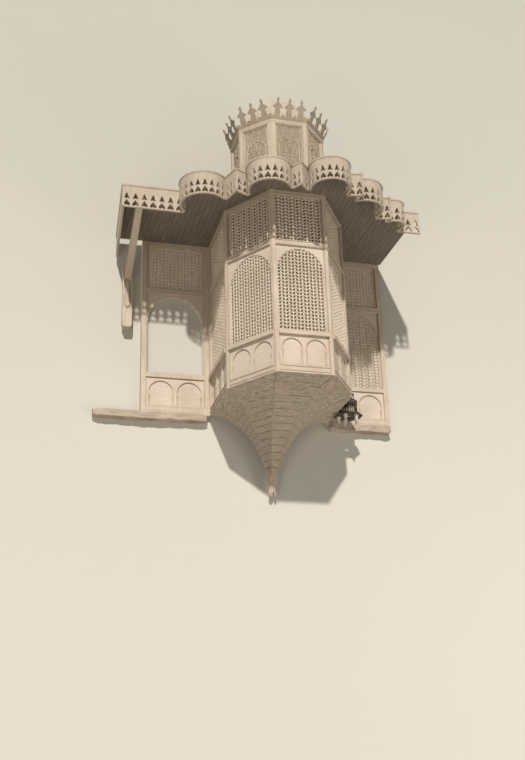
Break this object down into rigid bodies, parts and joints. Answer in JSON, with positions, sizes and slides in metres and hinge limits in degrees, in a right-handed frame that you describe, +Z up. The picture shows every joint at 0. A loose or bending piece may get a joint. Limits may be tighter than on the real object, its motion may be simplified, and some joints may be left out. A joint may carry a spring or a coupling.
{
  "type": "projecting mashrabiya bay window",
  "caption": "Timber bay window with turned lattice screens, flanking screens, scalloped canopy, boarded corbel, crown and hanging lantern.",
  "frame": {"origin": "on the back face of the floor ledger, in the wall's outer plane, on the bay's middle line, level with the underside of the base rail", "axes": "+Z up, +Y into the wall, +X to the right as seen from outside"},
  "size_m": [3.16, 2.0241, 4.183],
  "materials": {
    "joinery": "dry sun-bleached timber, planed",
    "panels": "dry pale timber boards",
    "lattice": "turned timber, weathered",
    "rough_timber": "rough-hewn cracked beam",
    "soffit_boards": "rough boards, dark with age",
    "corbel_boards": "weathered boards with open joints",
    "valance_paint": "pierced painted boards",
    "crown_wood": "carved pale timber",
    "dome_plaster": "limewashed boarding",
    "lantern_metal": "dark tarnished metal",
    "lamp_glass": "pale clear glass"
  },
  "bodies": {
    "root": {"arch_screen_front": "lattice", "arch_screen_left_diagonal": "lattice", "arch_screen_left_return": "lattice", "arch_screen_right_diagonal": "lattice", "arch_screen_right_return": "lattice", "bay_base_rails": "joinery", "bay_floor": "soffit_boards", "bay_mid_rails": "joinery", "bay_parapets": "panels", "bay_posts": "joinery", "bay_sill_rails": "joinery", "bay_top_rails": "joinery", "bracket_post": "joinery", "bracket_strut": "joinery", "canopy_deck": "soffit_boards", "corbel_boarding": "corbel_boards", "corbel_pendant": "corbel_boards", "corbel_ribs": "corbel_boards", "crown_cornice": "crown_wood", "crown_cresting": "crown_wood", "crown_dome": "dome_plaster", "crown_panels": "crown_wood", "crown_posts": "crown_wood", "lantern_body": "lantern_metal", "lantern_lamps": "lamp_glass", "lantern_neck": "lantern_metal", "lantern_plate": "lantern_metal", "lantern_rod": "lantern_metal", "left_flank_arch_board": "panels", "left_flank_frame": "joinery", "left_flank_parapet": "panels", "left_flank_upper_screen": "lattice", "left_sill_beam": "rough_timber", "right_flank_arch_screen": "lattice", "right_flank_frame": "joinery", "right_flank_parapet": "panels", "right_flank_upper_screen": "lattice", "right_sill_beam": "rough_timber", "upper_screen_front": "lattice", "upper_screen_left_diagonal": "lattice", "upper_screen_left_return": "lattice", "upper_screen_right_diagonal": "lattice", "upper_screen_right_return": "lattice", "valance_bows": "valance_paint", "valance_folds": "valance_paint", "valance_left_side": "valance_paint", "valance_left_wing": "valance_paint", "valance_right_wing": "valance_paint", "wall_ledger": "rough_timber"}
  },
  "joints": []
}
